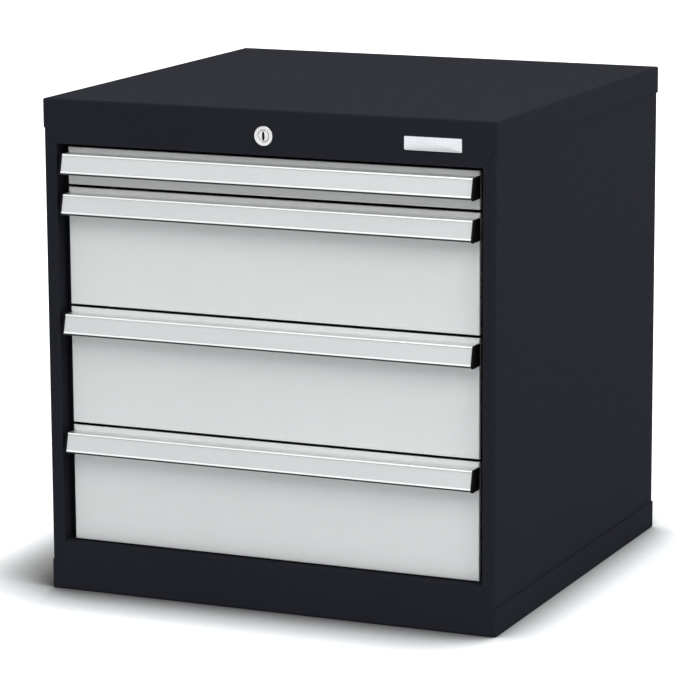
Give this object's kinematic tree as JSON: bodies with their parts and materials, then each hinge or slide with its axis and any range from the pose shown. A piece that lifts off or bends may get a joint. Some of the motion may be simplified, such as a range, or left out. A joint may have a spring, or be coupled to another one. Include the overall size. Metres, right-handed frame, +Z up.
{
  "type": "drawer cabinet",
  "caption": "Steel tool cabinet with stacked full-width drawers on full-extension ball slides, aluminium grip strips and a central cylinder lock.",
  "frame": {"origin": "middle of the bounding box's underside, on the floor", "axes": "+Z up, -Y towards the user, who faces the drawer fronts; +X to the user's right"},
  "size_m": [0.598, 0.5947, 0.62],
  "materials": {
    "case": "fine-textured satin powder coat",
    "drawer_steel": "satin powder coat",
    "handle": "satin anodised",
    "label": "matt card",
    "black_plastic": "fine-grained moulded",
    "lock": "satin nickel",
    "plate": "brushed",
    "zinc": "bright zinc plate"
  },
  "bodies": {
    "cabinet": {"top_cover": "case", "base_pan": "case", "side_panel_left": "case", "side_panel_right": "case", "back_panel": "case", "back_panel_rivets": "zinc", "front_uprights": "case", "rear_uprights": "case", "rail_screws": "zinc", "name_plate": "plate", "lock_housing": "lock", "lock_nut": "zinc", "lock_guides": "zinc", "drawer_1_cabinet_rails": "zinc", "drawer_2_cabinet_rails": "zinc", "drawer_3_cabinet_rails": "zinc", "drawer_4_cabinet_rails": "zinc"},
    "lock": {"lock_barrel": "lock", "lock_rod": "zinc"},
    "lock_bar": {"lock_bar": "zinc"},
    "drawer_1": {"drawer_1_tray": "drawer_steel", "drawer_1_front": "drawer_steel", "drawer_1_handle": "handle", "drawer_1_label": "label", "drawer_1_end_caps": "black_plastic", "drawer_1_drawer_rails": "zinc", "drawer_1_catch": "zinc"},
    "drawer_1_middle": {"drawer_1_middle_rails": "zinc"},
    "drawer_1_outer": {"drawer_1_outer_cages": "zinc"},
    "drawer_1_inner": {"drawer_1_inner_cages": "zinc"},
    "drawer_2": {"drawer_2_tray": "drawer_steel", "drawer_2_front": "drawer_steel", "drawer_2_handle": "handle", "drawer_2_label": "label", "drawer_2_end_caps": "black_plastic", "drawer_2_drawer_rails": "zinc", "drawer_2_catch": "zinc"},
    "drawer_2_middle": {"drawer_2_middle_rails": "zinc"},
    "drawer_2_outer": {"drawer_2_outer_cages": "zinc"},
    "drawer_2_inner": {"drawer_2_inner_cages": "zinc"},
    "drawer_3": {"drawer_3_tray": "drawer_steel", "drawer_3_front": "drawer_steel", "drawer_3_handle": "handle", "drawer_3_label": "label", "drawer_3_end_caps": "black_plastic", "drawer_3_drawer_rails": "zinc", "drawer_3_catch": "zinc"},
    "drawer_3_middle": {"drawer_3_middle_rails": "zinc"},
    "drawer_3_outer": {"drawer_3_outer_cages": "zinc"},
    "drawer_3_inner": {"drawer_3_inner_cages": "zinc"},
    "drawer_4": {"drawer_4_tray": "drawer_steel", "drawer_4_front": "drawer_steel", "drawer_4_handle": "handle", "drawer_4_label": "label", "drawer_4_end_caps": "black_plastic", "drawer_4_drawer_rails": "zinc", "drawer_4_catch": "zinc"},
    "drawer_4_middle": {"drawer_4_middle_rails": "zinc"},
    "drawer_4_outer": {"drawer_4_outer_cages": "zinc"},
    "drawer_4_inner": {"drawer_4_inner_cages": "zinc"}
  },
  "joints": [
    {"name": "lock_turn", "type": "hinge", "parent": "cabinet", "child": "lock", "pos_m": [0, 0, 0.5885], "axis": [0, 1, 0], "range_deg": [0, 90]},
    {"name": "lock_bar_slide", "type": "slide", "parent": "cabinet", "child": "lock_bar", "axis": [0, 0, 1], "range_m": [0, 0.01697]},
    {"name": "drawer_1_slide", "type": "slide", "parent": "cabinet", "child": "drawer_1", "axis": [0, -1, 0], "range_m": [0, 0.5]},
    {"name": "drawer_1_outer_slide", "type": "slide", "parent": "cabinet", "child": "drawer_1_outer", "axis": [0, -1, 0], "range_m": [0, 0.125]},
    {"name": "drawer_1_middle_slide", "type": "slide", "parent": "cabinet", "child": "drawer_1_middle", "axis": [0, -1, 0], "range_m": [0, 0.25]},
    {"name": "drawer_1_inner_slide", "type": "slide", "parent": "cabinet", "child": "drawer_1_inner", "axis": [0, -1, 0], "range_m": [0, 0.375]},
    {"name": "drawer_2_slide", "type": "slide", "parent": "cabinet", "child": "drawer_2", "axis": [0, -1, 0], "range_m": [0, 0.5]},
    {"name": "drawer_2_outer_slide", "type": "slide", "parent": "cabinet", "child": "drawer_2_outer", "axis": [0, -1, 0], "range_m": [0, 0.125]},
    {"name": "drawer_2_middle_slide", "type": "slide", "parent": "cabinet", "child": "drawer_2_middle", "axis": [0, -1, 0], "range_m": [0, 0.25]},
    {"name": "drawer_2_inner_slide", "type": "slide", "parent": "cabinet", "child": "drawer_2_inner", "axis": [0, -1, 0], "range_m": [0, 0.375]},
    {"name": "drawer_3_slide", "type": "slide", "parent": "cabinet", "child": "drawer_3", "axis": [0, -1, 0], "range_m": [0, 0.5]},
    {"name": "drawer_3_outer_slide", "type": "slide", "parent": "cabinet", "child": "drawer_3_outer", "axis": [0, -1, 0], "range_m": [0, 0.125]},
    {"name": "drawer_3_middle_slide", "type": "slide", "parent": "cabinet", "child": "drawer_3_middle", "axis": [0, -1, 0], "range_m": [0, 0.25]},
    {"name": "drawer_3_inner_slide", "type": "slide", "parent": "cabinet", "child": "drawer_3_inner", "axis": [0, -1, 0], "range_m": [0, 0.375]},
    {"name": "drawer_4_slide", "type": "slide", "parent": "cabinet", "child": "drawer_4", "axis": [0, -1, 0], "range_m": [0, 0.5]},
    {"name": "drawer_4_outer_slide", "type": "slide", "parent": "cabinet", "child": "drawer_4_outer", "axis": [0, -1, 0], "range_m": [0, 0.125]},
    {"name": "drawer_4_middle_slide", "type": "slide", "parent": "cabinet", "child": "drawer_4_middle", "axis": [0, -1, 0], "range_m": [0, 0.25]},
    {"name": "drawer_4_inner_slide", "type": "slide", "parent": "cabinet", "child": "drawer_4_inner", "axis": [0, -1, 0], "range_m": [0, 0.375]}
  ],
  "couplings": [
    {"joint": "lock_turn", "follows": "lock_bar_slide", "rad_per_m": 92.55},
    {"joint": "drawer_1_outer_slide", "follows": "drawer_1_slide", "ratio": 0.25},
    {"joint": "drawer_1_middle_slide", "follows": "drawer_1_slide", "ratio": 0.5},
    {"joint": "drawer_1_inner_slide", "follows": "drawer_1_slide", "ratio": 0.75},
    {"joint": "drawer_2_outer_slide", "follows": "drawer_2_slide", "ratio": 0.25},
    {"joint": "drawer_2_middle_slide", "follows": "drawer_2_slide", "ratio": 0.5},
    {"joint": "drawer_2_inner_slide", "follows": "drawer_2_slide", "ratio": 0.75},
    {"joint": "drawer_3_outer_slide", "follows": "drawer_3_slide", "ratio": 0.25},
    {"joint": "drawer_3_middle_slide", "follows": "drawer_3_slide", "ratio": 0.5},
    {"joint": "drawer_3_inner_slide", "follows": "drawer_3_slide", "ratio": 0.75},
    {"joint": "drawer_4_outer_slide", "follows": "drawer_4_slide", "ratio": 0.25},
    {"joint": "drawer_4_middle_slide", "follows": "drawer_4_slide", "ratio": 0.5},
    {"joint": "drawer_4_inner_slide", "follows": "drawer_4_slide", "ratio": 0.75}
  ]
}
